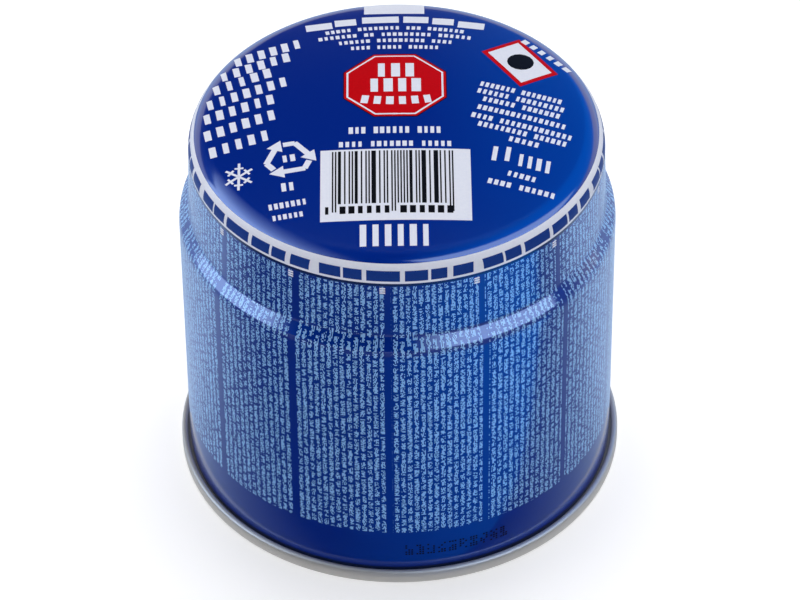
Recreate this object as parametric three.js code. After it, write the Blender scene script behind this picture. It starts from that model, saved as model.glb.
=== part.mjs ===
// Pierceable gas canister: a drawn, printed steel can with a seamed-on base end.
//
// The can is a sealed pressure vessel that cannot be seen into, so it is one
// solid of revolution about Z. It stands on its base seam: the origin is the
// centre of the circle that the seam rests on, and +Z points up through the top.
// Lengths are in millimetres.

import * as THREE from "three";

// Body, from the top down
const overallHeight = 84; // floor to the middle of the domed top
const topDomeRadius = 250; // sphere of the domed top
const cornerRadius = 4.9; // rounding between the top and the neck
const neckTopRadius = 40.5; // where the corner rounding starts
const neckFootRadius = 41; // the neck widens slightly downwards
const neckHeight = 13.8; // flank between the corner and the shoulder
const shoulderHeight = 9.6; // from the neck's foot to the straight wall
const shoulderFullness = 4; // height in which the shoulder's first slope would reach the wall
const wallRadius = 43;

// Base seam: the roll that joins the wall and the base end
const seamOuterRadius = 44.7;
const seamThickness = 1.25; // radial thickness of the roll
const seamHeight = 3;
const seamFootRadius = 0.5; // rounding at the foot of the roll
const grooveDepth = 1.1; // groove between the wall and the roll, below the roll's crown

// Base end: recessed inside the seam and domed inwards
const recessRadius = 42.3; // wall of the recess where it meets the panel's rounding
const recessDraft = 0.3; // the recess is this much wider at its mouth
const recessRounding = 1.2; // between the recess wall and the panel
const baseDomeRadius = 200; // sphere of the base panel
const baseCrownHeight = 9; // floor to the middle of the base panel

// Facets
const turns = 72; // sides of every circle
const domeSteps = 7;
const cornerSteps = 8;
const shoulderSteps = 8;
const rollSteps = 6;
const footSteps = 3;
const recessSteps = 4;
const baseSteps = 6;

const halfTurn = Math.PI;
const quarterTurn = Math.PI / 2;

// A profile point: distance from the axis, height above the floor.
const at = (radius, height) => new THREE.Vector2(radius, height);

// Points along an arc, without its first point.
function arc(centre, radius, from, to, steps) {
  const points = [];
  for (let step = 1; step <= steps; step += 1) {
    const angle = from + ((to - from) * step) / steps;
    points.push(at(centre.x + radius * Math.cos(angle), centre.y + radius * Math.sin(angle)));
  }
  return points;
}

// A spherical dome that runs smoothly into a rounding at its rim: the centres
// of both, and the angle of the line on which they meet.
function domeWithRim(crownHeight, sphereRadius, rimRadius, rounding) {
  const rimCentreRadius = rimRadius - rounding;
  const meeting = Math.acos(rimCentreRadius / (sphereRadius - rounding));
  const sphereCentre = at(0, crownHeight - sphereRadius);
  const rimCentre = at(rimCentreRadius, sphereCentre.y + (sphereRadius - rounding) * Math.sin(meeting));
  return { sphereCentre, rimCentre, meeting };
}

// The base end, from the axis out to the foot of the roll.
function baseEndProfile() {
  const panel = domeWithRim(baseCrownHeight, baseDomeRadius, recessRadius, recessRounding);
  return [
    at(0, baseCrownHeight),
    ...arc(panel.sphereCentre, baseDomeRadius, quarterTurn, panel.meeting, baseSteps),
    ...arc(panel.rimCentre, recessRounding, panel.meeting, 0, recessSteps),
    at(recessRadius + recessDraft, seamFootRadius),
    at(recessRadius + recessDraft + seamFootRadius, 0),
  ];
}

// The roll of the seam, from its foot outwards, over its rounded crown and
// down into the groove beside the wall.
function seamProfile() {
  const footCentre = at(seamOuterRadius - seamFootRadius, seamFootRadius);
  const crownRadius = seamThickness / 2;
  const crownCentre = at(seamOuterRadius - crownRadius, seamHeight - crownRadius);
  return [
    at(footCentre.x, 0),
    ...arc(footCentre, seamFootRadius, -quarterTurn, 0, footSteps),
    at(seamOuterRadius, crownCentre.y),
    ...arc(crownCentre, crownRadius, 0, halfTurn, rollSteps),
    at(wallRadius, seamHeight - grooveDepth),
  ];
}

// The drawn body: wall, shoulder, neck, rounded corner and domed top.
function bodyProfile() {
  const top = domeWithRim(overallHeight, topDomeRadius, neckTopRadius, cornerRadius);
  const neckFootHeight = top.rimCentre.y - neckHeight;
  const shoulder = new THREE.QuadraticBezierCurve(
    at(wallRadius, neckFootHeight - shoulderHeight),
    at(wallRadius, neckFootHeight - shoulderFullness),
    at(neckFootRadius, neckFootHeight),
  );
  return [
    ...shoulder.getPoints(shoulderSteps),
    at(neckTopRadius, top.rimCentre.y),
    ...arc(top.rimCentre, cornerRadius, 0, top.meeting, cornerSteps),
    ...arc(top.sphereCentre, topDomeRadius, top.meeting, quarterTurn, domeSteps).slice(0, -1),
    at(0, overallHeight),
  ];
}

// Turns a profile about the Z axis into a closed solid.
function turnedSolid(profile) {
  const solid = new THREE.LatheGeometry(profile, turns);
  solid.rotateX(quarterTurn);
  return solid;
}

const blueLacquer = new THREE.MeshStandardMaterial({ color: 0x0a3f96, roughness: 0.28, metalness: 0.35 });

const canister = new THREE.Mesh(
  turnedSolid([...baseEndProfile(), ...seamProfile(), ...bodyProfile()]),
  blueLacquer,
);
canister.name = "canister";

const gasCanister = new THREE.Group();
gasCanister.add(canister);

export default gasCanister;
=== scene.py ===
"""Studio scene of a pierceable gas canister: a drawn, printed steel can with a seamed-on base end.

The drawn body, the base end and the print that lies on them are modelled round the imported
part, in its frame: metres, +Z up, the can standing on the foot of its seam at the origin.
Sizes are written in millimetres and turned to metres where a mesh is made. Only the strip
cards and the lamps, which stand far from the can, are placed in metres.
"""

import logging
import math
import random
from dataclasses import dataclass, field
from enum import Enum

import bmesh
import bpy
from mathutils import Matrix, Vector


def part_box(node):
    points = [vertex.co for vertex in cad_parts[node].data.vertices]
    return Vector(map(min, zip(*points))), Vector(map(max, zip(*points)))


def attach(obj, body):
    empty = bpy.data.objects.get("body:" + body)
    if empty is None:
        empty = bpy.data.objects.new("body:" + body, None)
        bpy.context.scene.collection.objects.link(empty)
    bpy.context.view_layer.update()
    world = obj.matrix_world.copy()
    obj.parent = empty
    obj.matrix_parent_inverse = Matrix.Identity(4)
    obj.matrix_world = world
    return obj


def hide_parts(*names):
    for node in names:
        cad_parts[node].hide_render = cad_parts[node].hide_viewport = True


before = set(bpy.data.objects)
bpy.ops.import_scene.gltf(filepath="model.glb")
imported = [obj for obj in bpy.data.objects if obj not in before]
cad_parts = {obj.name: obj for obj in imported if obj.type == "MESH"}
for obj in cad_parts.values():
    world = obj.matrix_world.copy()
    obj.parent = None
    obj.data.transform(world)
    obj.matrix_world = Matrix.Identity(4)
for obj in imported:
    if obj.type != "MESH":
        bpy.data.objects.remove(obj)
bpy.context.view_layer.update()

LOG = logging.getLogger("gas_canister")
MM = 0.001
WELD_MM = 0.0001
FULL_TURN = 2 * math.pi
QUARTER_TURN = math.pi / 2
PointMm = tuple[float, float]


def linear_colour(hex_colour: str) -> tuple[float, float, float, float]:
    """Turns an sRGB hex colour into the linear colour that a shader takes.

    Args:
        hex_colour: The colour as #rrggbb.

    Returns:
        Red, green and blue in linear light, and an alpha of one.
    """
    shares = [int(hex_colour[place:place + 2], 16) / 255 for place in (1, 3, 5)]
    red, green, blue = (
        share / 12.92 if share <= 0.04045 else ((share + 0.055) / 1.055) ** 2.4 for share in shares
    )
    return red, green, blue, 1.0


def add_node(
    tree: bpy.types.NodeTree, kind: str, inputs: dict | None = None, **settings: object
) -> bpy.types.Node:
    """Adds a shader node with its settings, values and links.

    Args:
        tree: The node tree that the node goes into.
        kind: The node's type name.
        inputs: Values, or output sockets to link, by the name or number of the input.
        settings: The node's own properties.

    Returns:
        The new node.
    """
    node = tree.nodes.new(kind)
    for name, value in settings.items():
        setattr(node, name, value)
    for name, value in (inputs or {}).items():
        if isinstance(value, bpy.types.NodeSocket):
            tree.links.new(value, node.inputs[name])
        else:
            node.inputs[name].default_value = value
    return node


def calculate(tree: bpy.types.NodeTree, operation: str, *values: object) -> bpy.types.NodeSocket:
    """Adds one step of arithmetic and returns its result.

    Args:
        tree: The node tree that the step goes into.
        operation: The arithmetic, as the Math node names it.
        values: Numbers or sockets, in order.

    Returns:
        The socket that holds the result.
    """
    return add_node(tree, "ShaderNodeMath", dict(enumerate(values)), operation=operation).outputs[0]


def between(
    tree: bpy.types.NodeTree, value: bpy.types.NodeSocket, low: float, high: float
) -> bpy.types.NodeSocket:
    """Gives one where a value lies between two limits, and nothing elsewhere.

    Args:
        tree: The node tree that the test goes into.
        value: The value to test.
        low: The lower limit.
        high: The upper limit.

    Returns:
        The socket that holds the answer.
    """
    above = calculate(tree, "GREATER_THAN", value, low)
    below = calculate(tree, "LESS_THAN", value, high)
    return calculate(tree, "MULTIPLY", above, below)


def mix_colours(
    tree: bpy.types.NodeTree, share: object, first: object, second: object
) -> bpy.types.NodeSocket:
    """Mixes two colours by a share.

    Args:
        tree: The node tree that the mix goes into.
        share: How much of the second colour shows, a number or a socket.
        first: The first colour or a socket.
        second: The second colour or a socket.

    Returns:
        The socket that holds the mixed colour.
    """
    # A Mix node has sockets for numbers, vectors and colours: 6 and 7 are its two colours.
    return add_node(tree, "ShaderNodeMix", {0: share, 6: first, 7: second}, data_type="RGBA").outputs[2]


def start_material(name: str) -> tuple[bpy.types.Material, bpy.types.NodeTree]:
    """Makes an empty node material.

    Args:
        name: The material's name.

    Returns:
        The material and its node tree.
    """
    material = bpy.data.materials.new(name)
    material.use_nodes = True
    material.node_tree.nodes.clear()
    return material, material.node_tree


@dataclass(frozen=True)
class LacquerFinish:
    """Transparent blue stoving lacquer, roller coated on bright tinplate and then drawn.

    The steel below gives the deep pigment a broad azure sheen, and the smooth surface of
    the lacquer adds a thin white gloss that grows towards the can's edges.
    """

    name: str = "blue_stoving_lacquer"
    colour: str = "#002589"
    # This deep colour paints the shade at the foot of the wall, beside the seam's groove, and the thin dark
    # line under the band.
    shade_and_line_colour: str = "#021448"
    print_colour: str = "#8abdf2"
    sheen_colour: str = "#0098ff"
    roughness: float = 0.32
    steel_ior: float = 2.0
    steel_level: float = 0.27
    coat_ior: float = 2.1
    coat_roughness: float = 0.12
    peel_mm: float = 1.6
    peel_depth_mm: float = 0.004
    peel_strength: float = 0.5
    mottle: float = 0.03
    line_pitch_degrees: float = 1.73
    line_share: tuple[float, float] = (0.14, 0.86)
    line_start_mm: float = 1.373
    stroke_mm: float = 0.25
    strokes_across: float = 7.0
    stroke_chance: float = 0.3
    edge_thinning: float = 0.07
    word_mm: float = 2.3
    word_share: float = 0.24
    word_chance: float = 0.45
    columns: int = 14
    first_gap_degrees: float = -3.8
    gap_share: float = 0.07
    text_top_mm: float = 75.0
    text_foot_mm: float = 12.5
    # Painted shade: below this height the wall takes the deep colour in place of the shade in the groove
    # beside the seam.
    groove_shade_mm: float = 3.0
    band_line_mm: tuple[float, float] = (75.15, 75.65)

    def chance_at(
        self, tree: bpy.types.NodeTree, cell: tuple[object, object, object], chance: object
    ) -> bpy.types.NodeSocket:
        """Decides by chance, once for each cell, whether it holds something.

        Args:
            tree: The lacquer's node tree.
            cell: The three numbers of the cell.
            chance: The share of cells that hold nothing, a number or a socket.

        Returns:
            One for a cell that holds something, nothing for one that does not.
        """
        place = add_node(tree, "ShaderNodeCombineXYZ", dict(enumerate(cell))).outputs[0]
        value = add_node(tree, "ShaderNodeTexWhiteNoise", {"Vector": place}).outputs[0]
        return calculate(tree, "GREATER_THAN", value, chance)

    def printed_columns(
        self, tree: bpy.types.NodeTree, azimuth: bpy.types.NodeSocket, height: bpy.types.NodeSocket
    ) -> bpy.types.NodeSocket:
        """Draws the columns of fine printed lines that run up the wall and the neck.

        Args:
            tree: The lacquer's node tree.
            azimuth: The angle round the can in degrees, 0 at the front.
            height: The height above the floor in millimetres.

        Returns:
            One where there is pale ink, nothing where there is none.
        """
        column_width = 360 / self.columns
        line = calculate(tree, "DIVIDE", azimuth, self.line_pitch_degrees)
        line_number = calculate(tree, "FLOOR", line)
        share = calculate(tree, "FRACT", line)
        across = between(tree, share, *self.line_share)
        started = calculate(tree, "MULTIPLY_ADD", line_number, self.line_start_mm, height)
        stroke_row = calculate(tree, "FLOOR", calculate(tree, "DIVIDE", started, self.stroke_mm))
        stroke_column = calculate(tree, "FLOOR", calculate(tree, "MULTIPLY", share, self.strokes_across))
        middle_column = (self.strokes_across - 1) / 2
        from_middle = calculate(tree, "SUBTRACT", stroke_column, middle_column)
        squared = calculate(tree, "POWER", from_middle, 2.0)
        thinned = calculate(tree, "MULTIPLY", squared, self.edge_thinning)
        chance = calculate(tree, "ADD", thinned, self.stroke_chance)
        printed = self.chance_at(tree, (line_number, stroke_row, stroke_column), chance)
        word = calculate(tree, "DIVIDE", started, self.word_mm)
        word_number = calculate(tree, "FLOOR", word)
        in_word = calculate(tree, "GREATER_THAN", calculate(tree, "FRACT", word), self.word_share)
        joined = self.chance_at(tree, (word_number, line_number, 0.5), self.word_chance)
        along = calculate(tree, "MAXIMUM", in_word, joined)
        shifted = calculate(tree, "SUBTRACT", azimuth, self.first_gap_degrees)
        column = calculate(tree, "DIVIDE", calculate(tree, "ADD", shifted, 360.0), column_width)
        clear_of_gap = calculate(tree, "GREATER_THAN", calculate(tree, "FRACT", column), self.gap_share)
        in_height = between(tree, height, self.text_foot_mm, self.text_top_mm)
        mask = calculate(tree, "MULTIPLY", across, along)
        for condition in (printed, clear_of_gap, in_height):
            mask = calculate(tree, "MULTIPLY", mask, condition)
        return mask

    def material(self) -> bpy.types.Material:
        """Builds the lacquer with its fine wall print, painted shade at the foot of the wall, a thin dark
        line under the band and orange peel.

        Returns:
            The material.
        """
        material, tree = start_material(self.name)
        place = add_node(tree, "ShaderNodeTexCoord").outputs["Object"]
        axes = add_node(tree, "ShaderNodeSeparateXYZ", {0: place})
        front = calculate(tree, "MULTIPLY", axes.outputs["Y"], -1.0)
        angle = calculate(tree, "ARCTAN2", axes.outputs["X"], front)
        azimuth = calculate(tree, "DEGREES", angle)
        height = calculate(tree, "MULTIPLY", axes.outputs["Z"], 1 / MM)
        peel = add_node(tree, "ShaderNodeTexNoise", {"Vector": place, "Scale": 1 / (self.peel_mm * MM)})
        mottled = add_node(
            tree, "ShaderNodeMapRange",
            {
                "Value": peel.outputs[0],
                "To Min": self.roughness - self.mottle,
                "To Max": self.roughness + self.mottle,
            },
        )
        # Painted shade: the wall low down by the groove is darkened to the deep colour, and a thin line
        # just under the band is darkened the same way.
        painted_groove_shade = calculate(tree, "LESS_THAN", height, self.groove_shade_mm)
        navy_line = between(tree, height, *self.band_line_mm)
        groove_shade_and_band_line = calculate(tree, "MAXIMUM", painted_groove_shade, navy_line)
        field_colour = mix_colours(tree, groove_shade_and_band_line, linear_colour(self.colour), linear_colour(self.shade_and_line_colour))
        ink = self.printed_columns(tree, azimuth, height)
        inked = mix_colours(tree, ink, field_colour, linear_colour(self.print_colour))
        bump = add_node(
            tree, "ShaderNodeBump",
            {
                "Height": peel.outputs[0],
                "Distance": self.peel_depth_mm * MM,
                "Strength": self.peel_strength,
            },
        )
        shader = add_node(
            tree, "ShaderNodeBsdfPrincipled",
            {
                "Base Color": inked,
                "Roughness": mottled.outputs[0],
                "IOR": self.steel_ior,
                "Specular IOR Level": self.steel_level,
                "Specular Tint": linear_colour(self.sheen_colour),
                "Coat Weight": 1.0,
                "Coat IOR": self.coat_ior,
                "Coat Roughness": self.coat_roughness,
                "Normal": bump.outputs[0],
            },
        )
        add_node(tree, "ShaderNodeOutputMaterial", {"Surface": shader.outputs[0]})
        return material


@dataclass(frozen=True)
class TinplateFinish:
    """Bare cold-rolled tinplate: satin grey, with fine lines left by the seaming rolls.

    Its fine lines scatter more than half of the light, which the share of metal stands for.
    Real roll lines are finer, and are drawn as coarse as they need to show.
    """

    name: str = "rolled_tinplate"
    colour: str = "#c6c4c1"
    metal: float = 0.45
    roughness: float = 0.4
    roll_line_mm: float = 0.18
    line_depth_mm: float = 0.006
    line_strength: float = 0.6
    smoother: float = 0.08
    rougher: float = 0.1
    stretch: float = 0.02

    def material(self) -> bpy.types.Material:
        """Builds the tinplate with its roll lines running round the can.

        Returns:
            The material.
        """
        material, tree = start_material(self.name)
        place = add_node(tree, "ShaderNodeTexCoord").outputs["Object"]
        axes = add_node(tree, "ShaderNodeSeparateXYZ", {0: place})
        x_squared = calculate(tree, "POWER", axes.outputs["X"], 2.0)
        y_squared = calculate(tree, "POWER", axes.outputs["Y"], 2.0)
        radius = calculate(tree, "SQRT", calculate(tree, "ADD", x_squared, y_squared))
        angle = calculate(tree, "ARCTAN2", axes.outputs["X"], axes.outputs["Y"])
        round_the_can = calculate(tree, "MULTIPLY", angle, self.stretch)
        rolled = add_node(tree, "ShaderNodeCombineXYZ", {0: radius, 1: round_the_can, 2: axes.outputs["Z"]})
        lines = add_node(
            tree, "ShaderNodeTexNoise", {"Vector": rolled.outputs[0], "Scale": 1 / (self.roll_line_mm * MM)}
        )
        gloss = add_node(
            tree, "ShaderNodeMapRange",
            {
                "Value": lines.outputs[0],
                "To Min": self.roughness - self.smoother,
                "To Max": self.roughness + self.rougher,
            },
        )
        bump = add_node(
            tree, "ShaderNodeBump",
            {
                "Height": lines.outputs[0],
                "Distance": self.line_depth_mm * MM,
                "Strength": self.line_strength,
            },
        )
        shader = add_node(
            tree, "ShaderNodeBsdfPrincipled",
            {
                "Base Color": linear_colour(self.colour),
                "Metallic": self.metal,
                "Roughness": gloss.outputs[0],
                "Normal": bump.outputs[0],
            },
        )
        add_node(tree, "ShaderNodeOutputMaterial", {"Surface": shader.outputs[0]})
        return material


@dataclass(frozen=True)
class InkFinish:
    """Offset ink under clear varnish: nearly even, with a faint mottle of the steel below."""

    name: str
    colour: str
    thin_colour: str
    roughness: float = 0.34
    specular: float = 0.12
    mottle_mm: float = 0.5

    def material(self) -> bpy.types.Material:
        """Builds the ink with its mottle.

        Returns:
            The material.
        """
        material, tree = start_material(self.name)
        place = add_node(tree, "ShaderNodeTexCoord").outputs["Object"]
        mottle = add_node(tree, "ShaderNodeTexNoise", {"Vector": place, "Scale": 1 / (self.mottle_mm * MM)})
        colour = mix_colours(
            tree, mottle.outputs[0], linear_colour(self.colour), linear_colour(self.thin_colour)
        )
        shader = add_node(
            tree, "ShaderNodeBsdfPrincipled",
            {
                "Base Color": colour,
                "Roughness": self.roughness,
                "Specular IOR Level": self.specular,
            },
        )
        add_node(tree, "ShaderNodeOutputMaterial", {"Surface": shader.outputs[0]})
        return material


class Ink(Enum):
    """The inks of the print, each with the record's slot and its finish."""

    WHITE = ("white_print", InkFinish("white_varnished_ink", "#dfe2ee", "#d2d7e8"))
    RED = ("red_print", InkFinish("red_varnished_ink", "#c2020e", "#ae030c"))
    DARK = ("dark_print", InkFinish("black_varnished_ink", "#08080c", "#101016"))
    BLUE = ("blue_lacquer", InkFinish("blue_varnished_ink", "#123a8c", "#0e327e"))

    def __init__(self, slot: str, finish: InkFinish) -> None:
        """Keeps the slot and the finish by name."""
        self.slot = slot
        self.finish = finish


@dataclass(frozen=True)
class Ring:
    """One ring of a turned mesh: its radius and its height, in millimetres."""

    radius: float
    height: float


def arc_rings(centre: Ring, radius: float, start: float, stop: float, steps: int) -> list[Ring]:
    """Lays rings along an arc, without its first point.

    Args:
        centre: The middle of the arc.
        radius: The radius of the arc.
        start: The angle where it starts, from straight outwards.
        stop: The angle where it ends.
        steps: How many rings it takes.

    Returns:
        The rings in order.
    """
    angles = (start + (stop - start) * step / steps for step in range(1, steps + 1))
    return [
        Ring(centre.radius + radius * math.cos(angle), centre.height + radius * math.sin(angle))
        for angle in angles
    ]


def bent_rings(start: Ring, corner: Ring, stop: Ring, steps: int) -> list[Ring]:
    """Lays rings along a smooth bend that starts and ends in line with its corner.

    Args:
        start: The first ring, which is left out.
        corner: The point that the bend is drawn towards.
        stop: The last ring.
        steps: How many rings the bend takes.

    Returns:
        The rings in order.
    """
    rings = []
    for step in range(1, steps + 1):
        share = step / steps
        weights = ((1 - share) ** 2, 2 * share * (1 - share), share**2)
        ends = (start, corner, stop)
        radius = sum(weight * ring.radius for weight, ring in zip(weights, ends))
        height = sum(weight * ring.height for weight, ring in zip(weights, ends))
        rings.append(Ring(radius, height))
    return rings


def deselect_all() -> None:
    """Leaves no object selected."""
    bpy.ops.object.select_all(action="DESELECT")


def make_active(piece: bpy.types.Object) -> None:
    """Selects one object alone and makes it the active one.

    Args:
        piece: The object.
    """
    deselect_all()
    piece.select_set(True)
    bpy.context.view_layer.objects.active = piece


def turn_on_axis(name: str, rings: list[Ring], sides: int, solid: bool) -> bpy.types.Object:
    """Turns a mesh about Z, ring by ring, and closes its pole at the end.

    Args:
        name: The piece's name.
        rings: The rings in order.
        sides: How many sides each ring has.
        solid: Whether the first ring is closed by a disc too.

    Returns:
        The piece, with its place in its mesh.
    """
    deselect_all()
    first = rings[0]
    bpy.ops.mesh.primitive_circle_add(
        vertices=sides,
        radius=first.radius * MM,
        location=(0, 0, first.height * MM),
        fill_type="TRIFAN" if solid else "NOTHING",
    )
    piece = bpy.context.active_object
    piece.name = name
    bpy.ops.object.transform_apply(location=True, rotation=True, scale=True)
    bpy.ops.object.mode_set(mode="EDIT")
    bpy.ops.mesh.select_mode(type="EDGE")
    bpy.ops.mesh.select_all(action="SELECT")
    if solid:
        bpy.ops.mesh.region_to_loop()
    for below, ring in zip(rings, rings[1:]):
        rise = (ring.height - below.height) * MM
        growth = ring.radius / below.radius
        bpy.ops.mesh.extrude_edges_move(TRANSFORM_OT_translate={"value": (0, 0, rise)})
        bpy.ops.transform.resize(value=(growth, growth, 1), center_override=(0, 0, ring.height * MM))
    bpy.ops.mesh.extrude_edges_move(TRANSFORM_OT_translate={"value": (0, 0, 0)})
    bpy.ops.mesh.merge(type="CENTER")
    bpy.ops.mesh.select_all(action="SELECT")
    bpy.ops.mesh.remove_doubles(threshold=WELD_MM * MM)
    bpy.ops.mesh.select_all(action="SELECT")
    bpy.ops.mesh.normals_make_consistent(inside=False)
    bpy.ops.object.mode_set(mode="OBJECT")
    return piece


def thicken(piece: bpy.types.Object, thickness: float) -> None:
    """Gives a sheet its thickness, inwards from its outer face, and applies it.

    Args:
        piece: The sheet.
        thickness: Its thickness in millimetres.
    """
    make_active(piece)
    wall = piece.modifiers.new("thickness", "SOLIDIFY")
    wall.thickness = thickness * MM
    wall.offset = -1
    bpy.ops.object.modifier_apply(modifier=wall.name)


def dress(
    piece: bpy.types.Object, material: bpy.types.Material, smooth_degrees: float = 40
) -> None:
    """Shades a finished piece, gives it its finish and rides it on the can.

    Args:
        piece: The finished piece.
        material: Its material.
        smooth_degrees: Edges flatter than this are shaded smooth.
    """
    make_active(piece)
    bpy.ops.object.shade_smooth_by_angle(angle=math.radians(smooth_degrees))
    piece.data.materials.clear()
    piece.data.materials.append(material)
    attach(piece, "root")
    LOG.info("%s: %d faces, %s", piece.name, len(piece.data.polygons), material.name)


@dataclass(frozen=True)
class CanSizes:
    """The can's driving sizes in millimetres. The frame gives its height and widest radius."""

    height: float
    seam_radius: float
    top_dome_radius: float = 250
    corner_radius: float = 4.9
    neck_top_radius: float = 40.5
    neck_foot_radius: float = 41
    neck_height: float = 13.6
    shoulder_height: float = 4.6
    shoulder_fullness: float = 2.8
    wall_radius: float = 43
    plate_thickness: float = 0.3
    seam_thickness: float = 1.25
    seam_height: float = 3
    seam_foot_radius: float = 0.5
    groove_depth: float = 1.1
    recess_radius: float = 42.3
    recess_draft: float = 0.3
    recess_rounding: float = 1.2
    base_dome_radius: float = 200
    base_crown_height: float = 9
    pole_radius: float = 0.05

    @property
    def corner_meeting(self) -> float:
        """The angle of the line on which the top dome meets its rounded corner."""
        rim = self.neck_top_radius - self.corner_radius
        return math.acos(rim / (self.top_dome_radius - self.corner_radius))

    @property
    def corner_centre(self) -> Ring:
        """The middle of the rounding between the top and the neck."""
        reach = (self.top_dome_radius - self.corner_radius) * math.sin(self.corner_meeting)
        return Ring(self.neck_top_radius - self.corner_radius, self.height - self.top_dome_radius + reach)

    @property
    def neck_foot(self) -> Ring:
        """Where the neck meets the shoulder."""
        return Ring(self.neck_foot_radius, self.corner_centre.height - self.neck_height)

    @property
    def seam_crown(self) -> Ring:
        """The middle of the rounding on top of the seam's roll."""
        half = self.seam_thickness / 2
        return Ring(self.seam_radius - half, self.seam_height - half)

    @property
    def groove_floor(self) -> float:
        """The height of the bottom of the groove between wall and roll."""
        return self.seam_height - self.groove_depth

    def on_cone(self, share: float) -> Ring:
        """A ring of the shoulder's cone, between the height of its fullness and the neck's foot.

        Args:
            share: How far up the cone the ring lies.

        Returns:
            The ring there.
        """
        low = self.neck_foot.height - self.shoulder_fullness
        radius = self.wall_radius + share * (self.neck_foot_radius - self.wall_radius)
        return Ring(radius, low + share * self.shoulder_fullness)

    def neck_at(self, height: float) -> Ring:
        """The ring of the neck's flank at a height.

        Args:
            height: The height above the floor.

        Returns:
            The ring there.
        """
        share = (self.corner_centre.height - height) / self.neck_height
        radius = self.neck_top_radius + share * (self.neck_foot_radius - self.neck_top_radius)
        return Ring(radius, height)


@dataclass
class DrawnBody:
    """The deep-drawn cup: straight wall, shoulder, neck, rounded corner and domed top."""

    sizes: CanSizes
    sides: int = 192
    wall_steps: int = 10
    shoulder_steps: int = 14
    crease_steps: int = 5
    crease_reach: float = 0.4
    cone_share: float = 0.2
    neck_steps: int = 4
    band_foot: float = 75.75
    band_top: float = 79.7
    band_steps: int = 8
    corner_steps: int = 9
    dome_steps: int = 26
    lowest: float = 1.95
    crown_drop: float = 0.12
    piece: bpy.types.Object | None = None

    def wall_rings(self) -> list[Ring]:
        """Lays the rings of the straight wall, from the groove up to the shoulder.

        Returns:
            The rings, upwards.
        """
        top = self.sizes.neck_foot.height - self.sizes.shoulder_height
        rise = (top - self.lowest) / self.wall_steps
        heights = [self.lowest + rise * step for step in range(self.wall_steps + 1)]
        return [Ring(self.sizes.wall_radius, height) for height in heights]

    def shoulder_rings(self) -> list[Ring]:
        """Lays the rings of the shoulder's rounding, its short cone and the soft crease above it.

        Returns:
            The rings, upwards.
        """
        sizes = self.sizes
        neck_foot = sizes.neck_foot
        foot = Ring(sizes.wall_radius, neck_foot.height - sizes.shoulder_height)
        full = Ring(sizes.wall_radius, neck_foot.height - sizes.shoulder_fullness)
        bend_end = sizes.on_cone(self.cone_share)
        crease_start = sizes.on_cone(1 - self.crease_reach / sizes.shoulder_fullness)
        above = sizes.neck_at(neck_foot.height + self.crease_reach)
        bend = bent_rings(foot, full, bend_end, self.shoulder_steps)
        return bend + [crease_start] + bent_rings(crease_start, neck_foot, above, self.crease_steps)

    def neck_rings(self) -> list[Ring]:
        """Lays the rings of the neck's flank, up to the start of the rounded corner.

        Returns:
            The rings, upwards.
        """
        low = self.sizes.neck_foot.height + self.crease_reach
        rise = (self.band_foot - low) / self.neck_steps
        rings = [self.sizes.neck_at(low + rise * step) for step in range(1, self.neck_steps + 1)]
        return rings + [self.sizes.neck_at(self.sizes.corner_centre.height)]

    def lowered(self, ring: Ring, rim: Ring) -> float:
        """Lowers the dome's crown by the print's thickness, and its rim not at all.

        Args:
            ring: A ring of the dome.
            rim: The ring on which the dome starts.

        Returns:
            The height at which the ring is laid.
        """
        share = 1 - (ring.radius / rim.radius) ** 2
        return ring.height - self.crown_drop * share

    def top_rings(self) -> list[Ring]:
        """Lays the rings of the corner and the domed top, without the pole.

        Returns:
            The rings, inwards.
        """
        sizes = self.sizes
        centre = sizes.corner_centre
        band_end = math.asin((self.band_top - centre.height) / sizes.corner_radius)
        sphere = Ring(0, sizes.height - sizes.top_dome_radius)
        rings = arc_rings(centre, sizes.corner_radius, 0, band_end, self.band_steps)
        rings += arc_rings(centre, sizes.corner_radius, band_end, sizes.corner_meeting, self.corner_steps)
        dome = arc_rings(
            sphere, sizes.top_dome_radius, sizes.corner_meeting, QUARTER_TURN, self.dome_steps
        )
        rim = rings[-1]
        rings += [Ring(ring.radius, self.lowered(ring, rim)) for ring in dome[:-1]]
        return rings + [Ring(sizes.pole_radius, sizes.height - self.crown_drop)]

    def build(self) -> bpy.types.Object:
        """Models the cup as a sheet and gives it the thickness of the plate.

        Returns:
            The finished piece.
        """
        rings = self.wall_rings() + self.shoulder_rings() + self.neck_rings() + self.top_rings()
        self.piece = turn_on_axis("drawn_body", rings, self.sides, solid=False)
        thicken(self.piece, self.sizes.plate_thickness)
        return self.piece

    def finish(self, lacquer: LacquerFinish) -> None:
        """Lacquers the cup. It stands for the CAD solid, together with the base end."""
        dress(self.piece, lacquer.material())
        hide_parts("canister")


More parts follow.
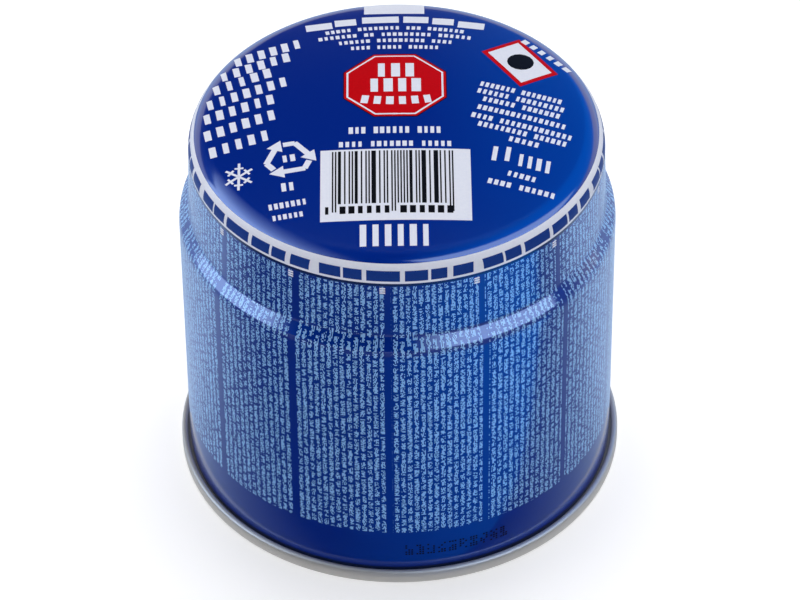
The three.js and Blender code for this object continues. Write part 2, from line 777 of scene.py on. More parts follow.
@dataclass
class BaseEnd:
    """The pressed base end, whose rim is rolled round the foot of the wall as the seam."""

    sizes: CanSizes
    sides: int = 192
    dome_steps: int = 12
    rounding_steps: int = 6
    foot_steps: int = 5
    roll_steps: int = 14
    wall_gap: float = 0.01
    hidden_rim_drop: float = 2
    piece: bpy.types.Object | None = None

    def outer_rings(self) -> list[Ring]:
        """Lays the rings from the middle of the panel out to the groove beside the wall.

        Returns:
            The rings, outwards.
        """
        sizes = self.sizes
        rim = sizes.recess_radius - sizes.recess_rounding
        meeting = math.acos(rim / (sizes.base_dome_radius - sizes.recess_rounding))
        sphere = Ring(0, sizes.base_crown_height - sizes.base_dome_radius)
        reach = (sizes.base_dome_radius - sizes.recess_rounding) * math.sin(meeting)
        panel = arc_rings(sphere, sizes.base_dome_radius, QUARTER_TURN, meeting, self.dome_steps)
        rounding = arc_rings(
            Ring(rim, sphere.height + reach), sizes.recess_rounding, meeting, 0, self.rounding_steps
        )
        mouth = Ring(sizes.recess_radius + sizes.recess_draft, sizes.seam_foot_radius)
        inner_foot = Ring(mouth.radius + sizes.seam_foot_radius, sizes.seam_foot_radius)
        outer_foot = Ring(sizes.seam_radius - sizes.seam_foot_radius, sizes.seam_foot_radius)
        foot = [mouth]
        foot += arc_rings(inner_foot, sizes.seam_foot_radius, math.pi, 3 * QUARTER_TURN, self.foot_steps)
        foot += [Ring(outer_foot.radius, 0)]
        foot += arc_rings(outer_foot, sizes.seam_foot_radius, -QUARTER_TURN, 0, self.foot_steps)
        crown = [Ring(sizes.seam_radius, sizes.seam_crown.height)]
        crown += arc_rings(sizes.seam_crown, sizes.seam_thickness / 2, 0, math.pi, self.roll_steps)
        groove = [Ring(sizes.wall_radius + self.wall_gap, sizes.groove_floor)]
        return panel + rounding + foot + crown + groove

    def build(self) -> bpy.types.Object:
        """Models the end as a solid sheet, with its upper face hidden inside the can.

        Returns:
            The finished piece.
        """
        sizes = self.sizes
        outer = self.outer_rings()
        inside = [
            Ring(sizes.wall_radius - sizes.plate_thickness, sizes.groove_floor),
            Ring(sizes.wall_radius - sizes.plate_thickness, sizes.base_crown_height - self.hidden_rim_drop),
        ]
        inside += [
            Ring(ring.radius - sizes.plate_thickness, ring.height + sizes.plate_thickness)
            for ring in reversed(outer[: self.dome_steps])
        ]
        inside += [Ring(sizes.pole_radius, sizes.base_crown_height + sizes.plate_thickness)]
        self.piece = turn_on_axis("base_end", outer + inside, self.sides, solid=True)
        return self.piece

    def finish(self, tinplate: TinplateFinish) -> None:
        """Leaves the end in bare tinplate. It stands for the CAD solid, with the body."""
        dress(self.piece, tinplate.material())
        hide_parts("canister")


class Facing(Enum):
    """The way in which flat print is laid onto the can."""

    TOP = "Z"
    FRONT = "Y"


@dataclass
class PrintLayer:
    """Fields of one ink, laid flat above the can and then wrapped onto it.

    A layer is a very thin film: its fields are cut from grids, placed in millimetres as
    seen from above or from the front, pressed onto the lacquer and given a thickness.
    """

    name: str
    ink: Ink
    facing: Facing = Facing.TOP
    lift: float = 0.03
    film: float = 0.02
    away: float = 100
    mesh_size: float = 1.6
    narrowest: float = 0.8
    widest: float = 1.15
    fields: list[bpy.types.Object] = field(default_factory=list)
    grids: dict[tuple[int, int], bpy.types.Object] = field(default_factory=dict)

    def grid(self, columns: int, rows: int) -> bpy.types.Object:
        """Makes, once, a unit grid that fields of its fineness are copied from.

        Args:
            columns: Its faces along X.
            rows: Its faces along Y.

        Returns:
            The grid.
        """
        key = (columns, rows)
        if key not in self.grids:
            deselect_all()
            bpy.ops.mesh.primitive_grid_add(x_subdivisions=columns, y_subdivisions=rows, size=1)
            self.grids[key] = bpy.context.active_object
        return self.grids[key]

    def lay(self, shape: bpy.types.Object, centre: PointMm, along: PointMm, across: PointMm) -> None:
        """Lays a copy of a unit shape as a field with the given sides.

        Args:
            shape: The unit shape, one wide and one high.
            centre: The middle of the field.
            along: Its length as a vector.
            across: Its height as a vector.
        """
        copy = shape.copy()
        copy.data = shape.data.copy()
        bpy.context.scene.collection.objects.link(copy)
        if self.facing is Facing.TOP:
            axes = (Vector((*along, 0)), Vector((*across, 0)), Vector((0, 0, 1)))
            place = Vector((*centre, self.away))
        else:
            axes = (
                Vector((along[0], 0, along[1])), Vector((across[0], 0, across[1])), Vector((0, -1, 0)),
            )
            place = Vector((centre[0], -self.away, centre[1]))
        turn = Matrix(axes).transposed().to_4x4()
        copy.matrix_world = Matrix.Translation(place * MM) @ turn @ Matrix.Diagonal((MM, MM, MM, 1))
        self.fields.append(copy)

    def slab(self, centre: PointMm, along: PointMm, across: PointMm) -> None:
        """Lays a four-sided field, cut finely enough to follow the can.

        Args:
            centre: The middle of the field.
            along: Its length as a vector.
            across: Its height as a vector.
        """
        columns = max(1, math.ceil(math.hypot(*along) / self.mesh_size))
        rows = max(1, math.ceil(math.hypot(*across) / self.mesh_size))
        self.lay(self.grid(columns, rows), centre, along, across)

    def box(self, left: float, right: float, low: float, high: float) -> None:
        """Lays an upright rectangular field between its edges."""
        self.slab(((left + right) / 2, (low + high) / 2), (right - left, 0), (0, high - low))

    def word_line(
        self,
        start: PointMm,
        stop: PointMm,
        height: float,
        letters: list[int],
        bow: float = 0,
        upright: bool = False,
        fill: float = 0.62,
    ) -> None:
        """Lays a line of plain marks, one for each letter place, in words.

        Args:
            start: The middle of the line's left end.
            stop: The middle of its right end.
            height: The height of the marks.
            letters: The letter places of each word.
            bow: How far the line's middle lies above its ends.
            upright: Whether the marks stand upright instead of square to the line.
            fill: How much of its place each mark fills.
        """
        places = sum(letters) + len(letters) - 1
        run = Vector(stop) - Vector(start)
        step = run / places
        shade = random.Random(f"{self.name} {start}")
        place = 0
        for word in letters:
            for _ in range(word):
                share = (place + 0.5) / places
                lift = bow * 4 * share * (1 - share)
                tangent = step + Vector((0, bow * 4 * (1 - 2 * share) / places))
                direction = tangent.normalized()
                square = Vector((-direction.y, direction.x))
                side = Vector((0, 1)) if upright else square
                width = tangent * fill * shade.uniform(self.narrowest, self.widest)
                middle = Vector(start) + run * share + Vector((0, lift))
                self.slab(tuple(middle), tuple(width), tuple(side * height))
                place += 1
            place += 1

    def regular(self, sides: int, centre: PointMm, inradius: float, turned: float, cuts: int = 5) -> None:
        """Lays a regular polygon.

        Args:
            sides: How many sides it has.
            centre: Its middle.
            inradius: The distance from its middle to a side.
            turned: How far it is turned, in degrees.
            cuts: How finely it is cut to follow the can.
        """
        deselect_all()
        bpy.ops.mesh.primitive_circle_add(
            vertices=sides, radius=1 / math.cos(math.pi / sides), fill_type="TRIFAN"
        )
        shape = bpy.context.active_object
        bpy.ops.object.mode_set(mode="EDIT")
        bpy.ops.mesh.select_all(action="SELECT")
        bpy.ops.mesh.subdivide(number_cuts=cuts)
        bpy.ops.object.mode_set(mode="OBJECT")
        angle = math.radians(turned)
        along = (inradius * math.cos(angle), inradius * math.sin(angle))
        self.lay(shape, centre, along, (-along[1], along[0]))
        bpy.data.objects.remove(shape)

    def press_on(self, body: bpy.types.Object, copies: int = 1) -> bpy.types.Object:
        """Joins the fields, wraps them onto the can and gives them the film's thickness.

        Args:
            body: The piece that carries the print.
            copies: How many times the print is repeated round the can.

        Returns:
            The finished piece.
        """
        deselect_all()
        for shape in self.fields:
            shape.select_set(True)
        bpy.context.view_layer.objects.active = self.fields[0]
        if len(self.fields) > 1:
            bpy.ops.object.join()
        piece = bpy.context.view_layer.objects.active
        piece.name = self.name
        bpy.ops.object.transform_apply(location=True, rotation=True, scale=True)
        wrap = piece.modifiers.new("wrap", "SHRINKWRAP")
        wrap.target = body
        wrap.wrap_method = "PROJECT"
        wrap.wrap_mode = "ABOVE_SURFACE"
        wrap.use_project_z = self.facing is Facing.TOP
        wrap.use_project_y = self.facing is Facing.FRONT
        wrap.use_negative_direction = self.facing is Facing.TOP
        wrap.use_positive_direction = self.facing is Facing.FRONT
        wrap.offset = self.lift * MM
        bpy.ops.object.modifier_apply(modifier=wrap.name)
        piece = self.repeat_round(piece, copies)
        thicken(piece, self.film)
        for grid in self.grids.values():
            bpy.data.objects.remove(grid)
        material = bpy.data.materials.get(self.ink.finish.name) or self.ink.finish.material()
        dress(piece, material)
        return piece

    def repeat_round(self, piece: bpy.types.Object, copies: int) -> bpy.types.Object:
        """Repeats a finished field evenly round the can and joins the copies.

        Args:
            piece: The field.
            copies: How many there are in all.

        Returns:
            The joined piece.
        """
        deselect_all()
        for number in range(1, copies):
            copy = piece.copy()
            copy.data = piece.data.copy()
            copy.data.transform(Matrix.Rotation(FULL_TURN * number / copies, 4, "Z"))
            bpy.context.scene.collection.objects.link(copy)
            copy.select_set(True)
        piece.select_set(True)
        bpy.context.view_layer.objects.active = piece
        if copies > 1:
            bpy.ops.object.join()
        return piece


@dataclass
class RimBand:
    """The white band on the rounded corner, with its repeated row of blue marks."""

    body: DrawnBody
    lift: float = 0.02
    film: float = 0.015
    words: int = 8
    mark_edges: tuple[PointMm, ...] = (
        (-21.5, -15.5), (-14.8, -9.7), (-8.5, 0.5), (1.8, 8.0), (8.8, 13.2), (14.8, 20.5),
    )
    mark_foot: float = 76.3
    mark_top: float = 78.5
    mark_lift: float = 0.045
    mark_mesh: float = 0.8

    def build_band(self) -> bpy.types.Object:
        """Lifts the faces of the corner off the body as a thin white film.

        Returns:
            The finished piece.
        """
        sheet = self.body.piece
        make_active(sheet)
        bpy.ops.object.mode_set(mode="EDIT")
        bpy.ops.mesh.select_mode(type="FACE")
        bpy.ops.mesh.select_all(action="DESELECT")
        mesh = bmesh.from_edit_mesh(sheet.data)
        low = self.body.band_foot * MM
        high = self.body.band_top * MM
        for face in mesh.faces:
            middle = face.calc_center_median()
            faces_out = face.normal.dot(Vector((middle.x, middle.y, 0))) > 0
            face.select_set(low < middle.z < high and faces_out)
        bmesh.update_edit_mesh(sheet.data)
        bpy.ops.mesh.duplicate()
        bpy.ops.transform.shrink_fatten(value=self.lift * MM)
        bpy.ops.mesh.separate(type="SELECTED")
        bpy.ops.object.mode_set(mode="OBJECT")
        band = next(piece for piece in bpy.context.selected_objects if piece is not sheet)
        band.name = "rim_band"
        thicken(band, self.film)
        dress(band, Ink.WHITE.finish.material())
        return band

    def build_marks(self) -> bpy.types.Object:
        """Lays one word of blue marks on the band and repeats it round the can.

        Returns:
            The finished piece.
        """
        layer = PrintLayer(
            "band_marks", Ink.BLUE, Facing.FRONT, lift=self.mark_lift, mesh_size=self.mark_mesh
        )
        radius = self.body.sizes.neck_top_radius
        for start, stop in self.mark_edges:
            left = radius * math.sin(math.radians(start))
            right = radius * math.sin(math.radians(stop))
            layer.box(left, right, self.mark_foot, self.mark_top)
        return layer.press_on(self.body.piece, copies=self.words)


@dataclass
class TopPrint:
    """The print on the domed top, in millimetres from the middle: +X right, +Y to the rear."""

    body: DrawnBody
    first_lift: float = 0.03
    second_lift: float = 0.055
    third_lift: float = 0.08
    fourth_lift: float = 0.105
    fifth_lift: float = 0.13
    rim_mesh: float = 0.8
    title_edges: tuple[PointMm, ...] = (
        (-17.7, -12.6), (-12, -7.8), (-6.6, 0.7), (1.6, 6.6), (7.4, 11.6), (12.5, 17.6),
    )
    title_reach: float = 31.7
    title_curve: float = 118
    title_mark: float = 2.3
    bar_count: int = 30
    bar_module: float = 0.29
    bar_top: float = -10.9
    bar_foot: float = -25.2
    guard_foot: float = -27.3
    guards: tuple[int, ...] = (0, 1, 14, 15, 28, 29)
    bar_seed: int = 5

    def title(self) -> None:
        """Lays the white title marks at the rear and the small lines under them."""
        layer = PrintLayer("title_marks", Ink.WHITE, mesh_size=self.rim_mesh)
        layer.box(-6.2, 5.8, 33.9, 38.7)
        for left, right in self.title_edges:
            middle = (left + right) / 2
            height = self.title_reach - middle**2 / self.title_curve
            slope = -2 * middle / self.title_curve
            layer.slab((middle, height), (right - left, (right - left) * slope), (0, self.title_mark))
        layer.word_line((-14, 27.3), (13.7, 27.3), 1.2, [5, 8, 3, 7], bow=1.3)
        layer.word_line((-15.4, 25.1), (15.1, 25.1), 1.2, [7, 2, 9, 6], bow=1.2)
        layer.word_line((-11.4, 23.4), (11.3, 23.4), 1.2, [6, 9, 4], bow=0.7)
        layer.word_line((-9, 21.5), (8.6, 21.5), 1.2, [4, 5, 6], bow=0.2)
        layer.press_on(self.body.piece)

    def octagon(self) -> None:
        """Lays the plain red octagon with its white inner line and dark edge."""
        centre = (-0.2, 9.1)
        sides = 8
        turned = 180 / sides
        for name, ink, inradius, lift in (
            ("octagon_edge", Ink.DARK, 10.1, self.first_lift),
            ("octagon_rim", Ink.RED, 9.93, self.second_lift),
            ("octagon_line", Ink.WHITE, 9.45, self.third_lift),
            ("octagon_field", Ink.RED, 9.07, self.fourth_lift),
        ):
            layer = PrintLayer(name, ink, lift=lift)
            layer.regular(sides, centre, inradius, turned)
            layer.press_on(self.body.piece)
        marks = PrintLayer("octagon_marks", Ink.WHITE, lift=self.fifth_lift)
        marks.word_line((-4.2, 13.7), (4.1, 13.7), 4.4, [3], fill=0.6)
        marks.word_line((-5.6, 8.8), (5.3, 8.8), 4.2, [4], fill=0.6)
        marks.word_line((-7.3, 4.6), (7.3, 4.6), 2.4, [6], bow=-0.7)
        marks.press_on(self.body.piece)

    def left_column(self) -> None:
        """Lays the seven slanting rows of tall marks on the left."""
        layer = PrintLayer("left_rows", Ink.WHITE, mesh_size=self.rim_mesh)
        tall = 3.0
        slim = 0.48
        for start, stop, count in (
            ((-32.2, 19.1), (-18.4, 24.4), [6]),
            ((-34.9, 14.6), (-20.4, 20.0), [6]),
            ((-36.3, 10.3), (-24.0, 15.2), [5]),
            ((-37.4, 5.8), (-20.9, 11.8), [7]),
            ((-37.9, 1.5), (-23.3, 6.5), [6]),
            ((-37.7, -3.6), (-23.0, 1.6), [6]),
            ((-36.6, -8.7), (-24.2, -4.4), [5]),
        ):
            layer.word_line(start, stop, tall, count, upright=True, fill=slim)
        layer.word_line((-24.6, -25), (-17.1, -23.9), 1.5, [7])
        layer.word_line((-23.8, -27.9), (-17.7, -27.1), 1.3, [6])
        layer.press_on(self.body.piece)

    def figures(self) -> None:
        """Lays the loop of three arrows, the snow star and the marks beside them."""
        layer = PrintLayer("figures", Ink.WHITE, mesh_size=self.rim_mesh)
        self.loop(layer)
        layer.word_line((-22.2, -12.1), (-19.2, -11.7), 1.9, [2])
        self.star(layer)
        layer.word_line((-22.3, -19.9), (-19.4, -19.6), 2.2, [2])
        layer.press_on(self.body.piece)

    def loop(self, layer: PrintLayer) -> None:
        """Lays three bent arrows that follow each other clockwise in a loop.

        Args:
            layer: The layer that they are laid in.
        """
        centre = Vector((-20.7, -11.9))
        radius = 3.5
        band = Vector((0, 1.2))
        for number in range(3):
            turned = 8 + 120 * number
            turn = Matrix.Rotation(math.radians(turned), 2)
            shaft = centre + turn @ Vector((0.6, -radius))
            layer.slab(tuple(shaft), tuple(turn @ Vector((4.3, 0))), tuple(turn @ band))
            head = centre + turn @ Vector((-2.3, -radius))
            layer.regular(3, tuple(head), 0.95, turned + 90, cuts=1)
            elbow = centre + turn @ Vector((3.2, 1 - radius))
            bent = Matrix.Rotation(math.radians(turned + 60), 2)
            layer.slab(tuple(elbow), tuple(bent @ Vector((2.3, 0))), tuple(bent @ band))

    def star(self, layer: PrintLayer) -> None:
        """Lays a six-armed snow star with a short tick near the end of each arm.

        Args:
            layer: The layer that it is laid in.
        """
        centre = Vector((-30.2, -15.9))
        reach = Vector((2.9, 3.7))
        stroke = 0.5
        tick_share = 0.62
        tick_stroke = 0.45
        tick_length = 1.7
        for number in range(3):
            direction = math.radians(90 + 60 * number)
            arm = Vector((reach.x * math.cos(direction), reach.y * math.sin(direction)))
            square = Vector((-arm.y, arm.x)).normalized()
            layer.slab(tuple(centre), tuple(arm * 2), tuple(square * stroke))
            for side in (-tick_share, tick_share):
                tick = centre + arm * side
                layer.slab(tuple(tick), tuple(arm.normalized() * tick_stroke), tuple(square * tick_length))

    def middle_lines(self) -> None:
        """Lays the two lines under the octagon and the tall marks at the front."""
        layer = PrintLayer("middle_lines", Ink.WHITE)
        layer.word_line((-9.4, -4.9), (8.7, -4.9), 1.9, [3, 6, 4])
        layer.word_line((-11.3, -8.9), (10.7, -8.9), 1.5, [4, 7, 5])
        layer.word_line((-7.7, -33.4), (6.5, -33.4), 5.4, [6], fill=0.5)
        layer.press_on(self.body.piece)

    def bar_panel(self) -> None:
        """Lays the white panel with its upright bars and the small marks under them."""
        panel = PrintLayer("bar_panel", Ink.WHITE)
        panel.box(-14.6, 14.1, -29.6, -10.4)
        panel.press_on(self.body.piece)
        bars = PrintLayer("panel_bars", Ink.DARK, lift=self.second_lift)
        shade = random.Random(self.bar_seed)
        place = -12.4
        for number in range(self.bar_count):
            guard = number in self.guards
            width = self.bar_module if guard else self.bar_module * shade.choice((1, 1, 2, 3))
            foot = self.guard_foot if guard else self.bar_foot
            bars.box(place, place + width, foot, self.bar_top)
            gap = self.bar_module if guard else self.bar_module * shade.choice((1, 1, 2, 2))
            place += width + gap
        bars.word_line((-13.9, -26.8), (-12.8, -26.8), 1.9, [1])
        bars.word_line((-11.2, -26.8), (-1.1, -26.8), 1.9, [6])
        bars.word_line((0.3, -26.8), (10.9, -26.8), 1.9, [6])
        bars.press_on(self.body.piece)

    def lozenge(self) -> None:
        """Lays the red-edged lozenge with its plain dark disc."""
        centre = (24.35, 17.4)
        along = Vector((8.3, -10.45))
        across = Vector((8.0, 4.15))
        for name, ink, share_along, share_across, lift in (
            ("lozenge_edge", Ink.RED, 1.0, 1.0, self.first_lift),
            ("lozenge_field", Ink.WHITE, 0.86, 0.8, self.second_lift),
        ):
            layer = PrintLayer(name, ink, lift=lift)
            layer.slab(centre, tuple(along * share_along), tuple(across * share_across))
            layer.press_on(self.body.piece)
        motif = PrintLayer("lozenge_motif", Ink.DARK, lift=self.third_lift)
        disc_sides = 16
        disc_radius = 2.6
        motif.regular(disc_sides, (24.5, 17.5), disc_radius, 0, cuts=2)
        motif.press_on(self.body.piece)

    def right_text(self) -> None:
        """Lays the sloping lines of small marks on the right and the marks under them."""
        layer = PrintLayer("right_lines", Ink.WHITE, mesh_size=self.rim_mesh)
        slope = -0.287
        small = 1.45
        for start, stop, height, words in (
            (16.3, 32.3, 9.8, [7, 8]), (15.7, 32.7, 7.6, [6, 9]), (16.7, 31.8, 5.0, [6, 7]),
            (15.6, 32.8, 2.5, [16]), (14.4, 33.9, 0.0, [4, 13]), (15.6, 32.8, -2.6, [9, 6]),
            (21.4, 27.5, -6.7, [5]),
        ):
            layer.word_line((start, height), (stop, height + slope * (stop - start)), small, words)
        layer.word_line((24.9, 25.4), (34.3, 15.4), 1.3, [6])
        layer.word_line((22.9, -12.6), (29.7, -14.6), 3.4, [4], upright=True, fill=0.5)
        layer.word_line((20.9, -16.5), (26.6, -18.2), 1.4, [5])
        layer.word_line((17.1, -18.8), (30.1, -22.2), 1.4, [4, 6])
        for x in (18.8, 21.3):
            layer.slab((x, -11.3), (0.9, -0.2), (0.3, 4.0))
        layer.press_on(self.body.piece)

    def build(self) -> None:
        """Lays all the print of the top."""
        self.title()
        self.octagon()
        self.left_column()
        self.figures()
        self.middle_lines()
        self.bar_panel()
        self.lozenge()
        self.right_text()


@dataclass
class WallPrint:
    """The marks on the wall that stand out from the fine columns: headers and dotted marks."""

    body: DrawnBody
    columns: int = 14
    header_azimuth: float = -5.0
    header_width: float = 1.5
    header_foot: float = 73.3
    header_top: float = 74.9
    header_rows: int = 3
    header_fill: float = 0.65
    code_start: float = 0.5
    code_stop: float = 29.5
    code_places: int = 10
    code_foot: float = 6.3
    code_shift: float = 0.3
    code_seed: int = 11
    dot: float = 0.36
    dot_spacing: float = 1.6
    dot_rows: int = 5
    dot_columns: int = 3
    dot_chance: float = 0.62

    def headers(self) -> None:
        """Lays the small white mark at the top of each column's last line."""
        layer = PrintLayer("column_headers", Ink.WHITE, Facing.FRONT)
        radius = self.body.sizes.neck_top_radius
        left = radius * math.sin(math.radians(self.header_azimuth))
        right = radius * math.sin(math.radians(self.header_azimuth + self.header_width))
        row_height = (self.header_top - self.header_foot) / self.header_rows
        for row in range(self.header_rows):
            foot = self.header_foot + row * row_height
            layer.box(left, right, foot, foot + row_height * self.header_fill)
        layer.press_on(self.body.piece, copies=self.columns)

    def dotted_code(self) -> None:
        """Lays a row of dotted marks, with their dots by chance, near the foot of the wall."""
        layer = PrintLayer("dotted_code", Ink.DARK, Facing.FRONT)
        radius = self.body.sizes.wall_radius
        shade = random.Random(self.code_seed)
        pitch = (self.code_stop - self.code_start) / self.code_places
        dot_pitch = self.dot * self.dot_spacing
        for number in range(self.code_places):
            azimuth = math.radians(self.code_start + pitch * (number + self.code_shift))
            for column in range(self.dot_columns):
                for row in range(self.dot_rows):
                    if shade.random() > self.dot_chance:
                        continue
                    x = radius * math.sin(azimuth + column * dot_pitch / radius)
                    z = self.code_foot + row * dot_pitch
                    layer.box(x - self.dot / 2, x + self.dot / 2, z, z + self.dot)
        layer.press_on(self.body.piece)

    def build(self) -> None:
        """Lays the headers and the dotted marks."""
        self.headers()
        self.dotted_code()


@dataclass(frozen=True)
class Fade:
    """How a card fades out along an axis: where it is dark and where it is full, in metres."""

    axis: str
    dark: float
    full: float


@dataclass
class Studio:
    """The pale floor, the soft lamps and the camera of the photograph."""

    lens: float = 197.452
    sensor: float = 36
    distance: float = 880.24
    elevation: float = 41.7907
    aim_height: float = 35.476
    aim_right: float = 0.0005036
    roll: float = -0.0107519
    floor_size: float = 12000
    card_inner: float = 45
    near_card_outer: float = 140
    card_outer: float = 6000
    card_edge: float = -45
    seam_card_outer: float = 46.6
    seam_card_edge: float = 5
    card_height: float = 0.04
    card_step: float = 0.02
    card_sides: int = 96
    azure: str = "#0090ff"
    pale_azure: str = "#c0daff"
    ceiling_height: float = 620
    ceiling_radius: float = 1700
    ceiling_sides: int = 64
    far_ceiling_height: float = 640
    far_ceiling_radius: float = 20000
    hung_height: float = 600
    floor_glow: float = 1.8
    glow_share: float = 0.3
    room_light: float = 0.12
    lamp_aim: float = 0.04

    def background_rays(self, tree: bpy.types.NodeTree) -> bpy.types.NodeSocket:
        """Gives one for the rays that show the background: of the camera, gloss and glass.

        Args:
            tree: The node tree of the floor or the room.

        Returns:
            The socket that holds the answer.
        """
        path = add_node(tree, "ShaderNodeLightPath")
        seen = calculate(tree, "MAXIMUM", path.outputs["Is Camera Ray"], path.outputs["Is Glossy Ray"])
        return calculate(tree, "MAXIMUM", seen, path.outputs["Is Transmission Ray"])

    def camera(self) -> None:
        """Places the camera where the photograph was taken from."""
        data = bpy.data.cameras.new("camera")
        data.lens = self.lens
        data.sensor_width = self.sensor
        camera = bpy.data.objects.new("camera", data)
        bpy.context.scene.collection.objects.link(camera)
        angle = math.radians(self.elevation)
        back = self.distance * math.cos(angle)
        up = self.aim_height + self.distance * math.sin(angle)
        look = Matrix.Rotation(-self.aim_right, 4, "Z") @ Matrix.Rotation(QUARTER_TURN - angle, 4, "X")
        place = Matrix.Translation(Vector((0, -back, up)) * MM)
        camera.matrix_world = place @ look @ Matrix.Rotation(self.roll, 4, "Z")
        bpy.context.scene.camera = camera

    def floor(self) -> None:
        """Lays the pale floor, which shows near white and keeps the can's soft shadow."""
        deselect_all()
        bpy.ops.mesh.primitive_plane_add(size=self.floor_size * MM, location=(0, 0, 0))
        floor = bpy.context.active_object
        floor.name = "studio_floor"
        material, tree = start_material("matt_white_floor")
        paint = add_node(tree, "ShaderNodeBsdfDiffuse", {"Color": linear_colour("#f2f2f4")})
        glow = add_node(
            tree, "ShaderNodeEmission", {"Color": linear_colour("#ffffff"), "Strength": self.floor_glow}
        )
        share = calculate(tree, "MULTIPLY", self.background_rays(tree), self.glow_share)
        mixed = add_node(tree, "ShaderNodeMixShader", {0: share, 1: paint.outputs[0], 2: glow.outputs[0]})
        add_node(tree, "ShaderNodeOutputMaterial", {"Surface": mixed.outputs[0]})
        floor.data.materials.append(material)

    def card(
        self, name: str, strength: float, colour: str = "#ffffff", fade: Fade | None = None
    ) -> None:
        """Finishes the active object as a card that only reflections show.

        Args:
            name: The card's name.
            strength: How bright it looks, where 1 is white.
            colour: Its colour.
            fade: How its brightness fades out, if it does.
        """
        card = bpy.context.active_object
        card.name = name
        bpy.ops.object.transform_apply(location=True, rotation=True, scale=True)
        material, tree = start_material(name + "_paint")
        paint = add_node(tree, "ShaderNodeEmission", {"Color": linear_colour(colour), "Strength": strength})
        if fade:
            place = add_node(tree, "ShaderNodeTexCoord").outputs["Object"]
            along = add_node(tree, "ShaderNodeSeparateXYZ", {0: place}).outputs[fade.axis]
            faded = add_node(
                tree, "ShaderNodeMapRange",
                {"Value": along, "From Min": fade.dark, "From Max": fade.full, "To Max": strength},
            )
            tree.links.new(faded.outputs[0], paint.inputs["Strength"])
        add_node(tree, "ShaderNodeOutputMaterial", {"Surface": paint.outputs[0]})
        card.data.materials.append(material)
        card.visible_camera = False
        card.visible_diffuse = False
        card.visible_shadow = False

    def floor_card(
        self, name: str, radii: PointMm, front: bool, edge: float, strength: float,
        colour: str = "#ffffff", fade: Fade | None = None,
    ) -> None:
        """Lays a card on the floor round one half of the can.

        Args:
            name: The card's name.
            radii: Its inner and outer radius.
            front: Whether it lies in front of its straight edge or behind it.
            edge: How far from the can's middle its straight edge lies, to the rear.
            strength: How bright it looks.
            colour: Its colour.
            fade: How its brightness fades out, if it does.
        """
        deselect_all()
        self.card_height += self.card_step
        bpy.ops.mesh.primitive_circle_add(
            vertices=self.card_sides, radius=radii[0] * MM, location=(0, 0, self.card_height * MM)
        )
        growth = radii[1] / radii[0]
        bpy.ops.object.mode_set(mode="EDIT")
        bpy.ops.mesh.select_all(action="SELECT")
        bpy.ops.mesh.extrude_edges_move(TRANSFORM_OT_translate={"value": (0, 0, 0)})
        bpy.ops.transform.resize(value=(growth, growth, 1), center_override=(0, 0, self.card_height * MM))
        bpy.ops.mesh.select_all(action="SELECT")
        bpy.ops.mesh.bisect(
            plane_co=(0, edge * MM, 0), plane_no=(0, 1, 0), clear_outer=front, clear_inner=not front
        )
        bpy.ops.object.mode_set(mode="OBJECT")
        self.card(name, strength, colour, fade)

    def ceiling_card(
        self, name: str, radius: float, height: float, strength: float, colour: str, fade: Fade
    ) -> None:
        """Hangs a round card over the can.

        Args:
            name: The card's name.
            radius: Its radius.
            height: Its height above the floor.
            strength: How bright it looks.
            colour: Its colour.
            fade: How its brightness fades out.
        """
        deselect_all()
        bpy.ops.mesh.primitive_circle_add(
            vertices=self.ceiling_sides, radius=radius * MM, location=(0, 0, height * MM), fill_type="NGON"
        )
        self.card(name, strength, colour, fade)

    def strip_card(
        self, name: str, place: tuple[float, float, float], size: tuple[float, float],
        turn: tuple[float, float], strength: float, fade: Fade | None = None,
    ) -> None:
        """Sets up a bright card that gives the lacquer one of its long highlights.

        Args:
            name: The card's name.
            place: Its middle, in metres.
            size: Its width and height, in metres.
            turn: How far it is tilted up from the floor and turned about Z, in degrees.
            strength: How bright it looks, where 1 is white.
            fade: How its brightness fades out, if it does.
        """
        deselect_all()
        tilt, azimuth = (math.radians(angle) for angle in turn)
        bpy.ops.mesh.primitive_plane_add(size=1, location=place, rotation=(tilt, 0, azimuth))
        bpy.context.active_object.scale = (*size, 1)
        self.card(name, strength, self.pale_azure, fade)

    def cards(self) -> None:
        """Sets up the cards that the lacquer and the bare metal reflect."""
        self.cards_on_the_floor()
        self.ceiling_card(
            "ceiling_card", radius=self.ceiling_radius, height=self.ceiling_height,
            strength=1.05, colour=self.azure, fade=Fade("X", dark=0.02, full=0.36),
        )
        self.ceiling_card(
            "far_ceiling_card", radius=self.far_ceiling_radius, height=self.far_ceiling_height,
            strength=0.6, colour="#ffffff", fade=Fade("Y", dark=-0.5, full=1.5),
        )
        hung = self.hung_height * MM
        self.strip_card(
            "left_hung_card", place=(-0.7, -0.05, hung), size=(1.1, 1.0), turn=(0, 0),
            strength=2.6, fade=Fade("X", dark=-0.2, full=-0.9),
        )
        self.strip_card(
            "right_hung_card", place=(0.72, -0.26, hung), size=(1.3, 0.55), turn=(0, 38),
            strength=2.2,
        )
        self.strip_card(
            "left_standing_card", place=(-1.12, -0.12, 0.33), size=(1.3, 0.54), turn=(90, -84),
            strength=2.9, fade=Fade("Y", dark=-0.76, full=-0.5),
        )
        self.strip_card(
            "right_standing_card", place=(0.49, -0.53, 0.39), size=(1.02, 0.36), turn=(90, 43),
            strength=3.0, fade=Fade("X", dark=0.12, full=0.36),
        )

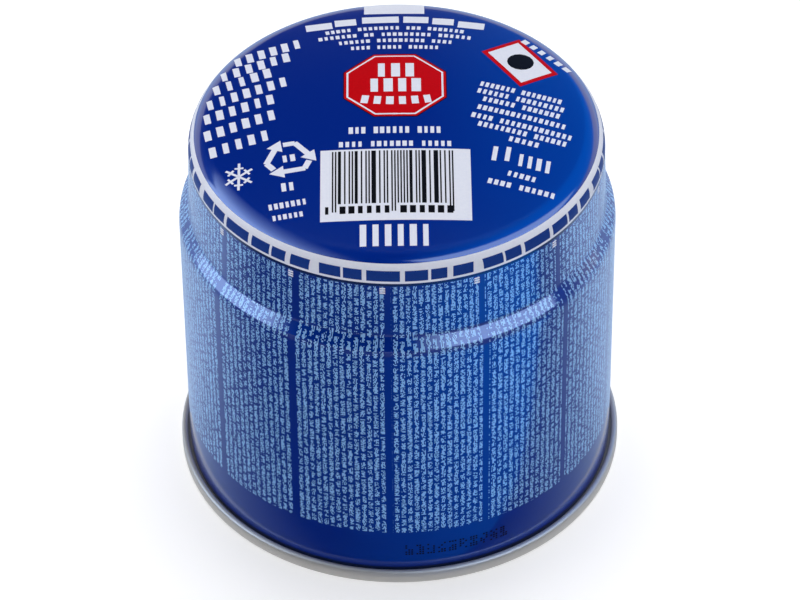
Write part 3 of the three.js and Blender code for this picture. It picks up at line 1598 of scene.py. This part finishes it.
    def cards_on_the_floor(self) -> None:
        """Lays the cards round the can's foot, each a little higher than the one before."""
        edge = self.card_edge
        self.floor_card(
            "front_near_card", radii=(self.card_inner, self.near_card_outer), front=True, edge=edge,
            strength=1.0, colour=self.azure, fade=Fade("X", dark=-0.02, full=0.09),
        )
        self.floor_card(
            "front_far_card", radii=(self.near_card_outer, self.card_outer), front=True, edge=edge,
            strength=0.12,
        )
        self.floor_card(
            "rear_floor_card", radii=(self.card_inner, self.card_outer), front=False, edge=edge,
            strength=0.85, colour=self.pale_azure, fade=Fade("Y", dark=edge * MM, full=0.01),
        )
        self.floor_card(
            "front_seam_card", radii=(self.card_inner, self.seam_card_outer), front=True,
            edge=self.seam_card_edge, strength=0.62,
        )

    def lamp(
        self, name: str, place: tuple[float, float], height: float, size: tuple[float, float], watts: float
    ) -> None:
        """Sets up one softbox that looks at the middle of the can.

        Args:
            name: The lamp's name.
            place: Where it stands, in metres from the can.
            height: The height of its middle, in metres.
            size: Its width and height, in metres.
            watts: Its power.
        """
        data = bpy.data.lights.new(name, "AREA")
        data.shape = "RECTANGLE"
        data.size, data.size_y = size
        data.energy = watts
        lamp = bpy.data.objects.new(name, data)
        bpy.context.scene.collection.objects.link(lamp)
        spot = Vector((*place, height))
        aim = Vector((0, 0, self.lamp_aim)) - spot
        lamp.visible_glossy = False
        lamp.matrix_world = Matrix.Translation(spot) @ aim.to_track_quat("-Z", "Y").to_matrix().to_4x4()

    def lamps(self) -> None:
        """Sets up the softboxes and the faint light of the room."""
        self.lamp("right_softbox", place=(0.75, -0.82), height=0.2, size=(1.2, 0.16), watts=4.4)
        self.lamp("left_softbox", place=(-1.08, -0.2), height=0.2, size=(1.1, 0.18), watts=4.8)
        self.lamp("overhead_softbox", place=(0.05, 0.35), height=1.3, size=(1.0, 0.8), watts=16)
        world = bpy.data.worlds.new("studio_room")
        world.use_nodes = True
        world.node_tree.nodes.clear()
        tree = world.node_tree
        strength = add_node(
            tree, "ShaderNodeMapRange",
            {"Value": self.background_rays(tree), "To Min": self.room_light, "To Max": 1.0},
        )
        air = add_node(
            tree, "ShaderNodeBackground",
            {"Color": linear_colour("#ffffff"), "Strength": strength.outputs[0]},
        )
        add_node(tree, "ShaderNodeOutputWorld", {"Surface": air.outputs[0]})
        bpy.context.scene.world = world

    def build(self) -> None:
        """Sets up the whole studio."""
        self.camera()
        self.floor()
        self.cards()
        self.lamps()
        bpy.context.scene.view_settings.view_transform = "Standard"


def main() -> None:
    """Builds the can, its print and the studio, and reports each piece."""
    logging.basicConfig(level=logging.INFO, format="%(name)s: %(message)s")
    Studio().build()
    _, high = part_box("canister")
    sizes = CanSizes(height=high.z / MM, seam_radius=high.x / MM)
    LOG.info("can: %.1f mm high, %.1f mm over the seam", sizes.height, 2 * sizes.seam_radius)
    base_end = BaseEnd(sizes)
    base_end.build()
    base_end.finish(TinplateFinish())
    body = DrawnBody(sizes)
    body.build()
    band = RimBand(body)
    band.build_band()
    band.build_marks()
    TopPrint(body).build()
    WallPrint(body).build()
    body.finish(LacquerFinish())


if __name__ == "__main__":
    main()
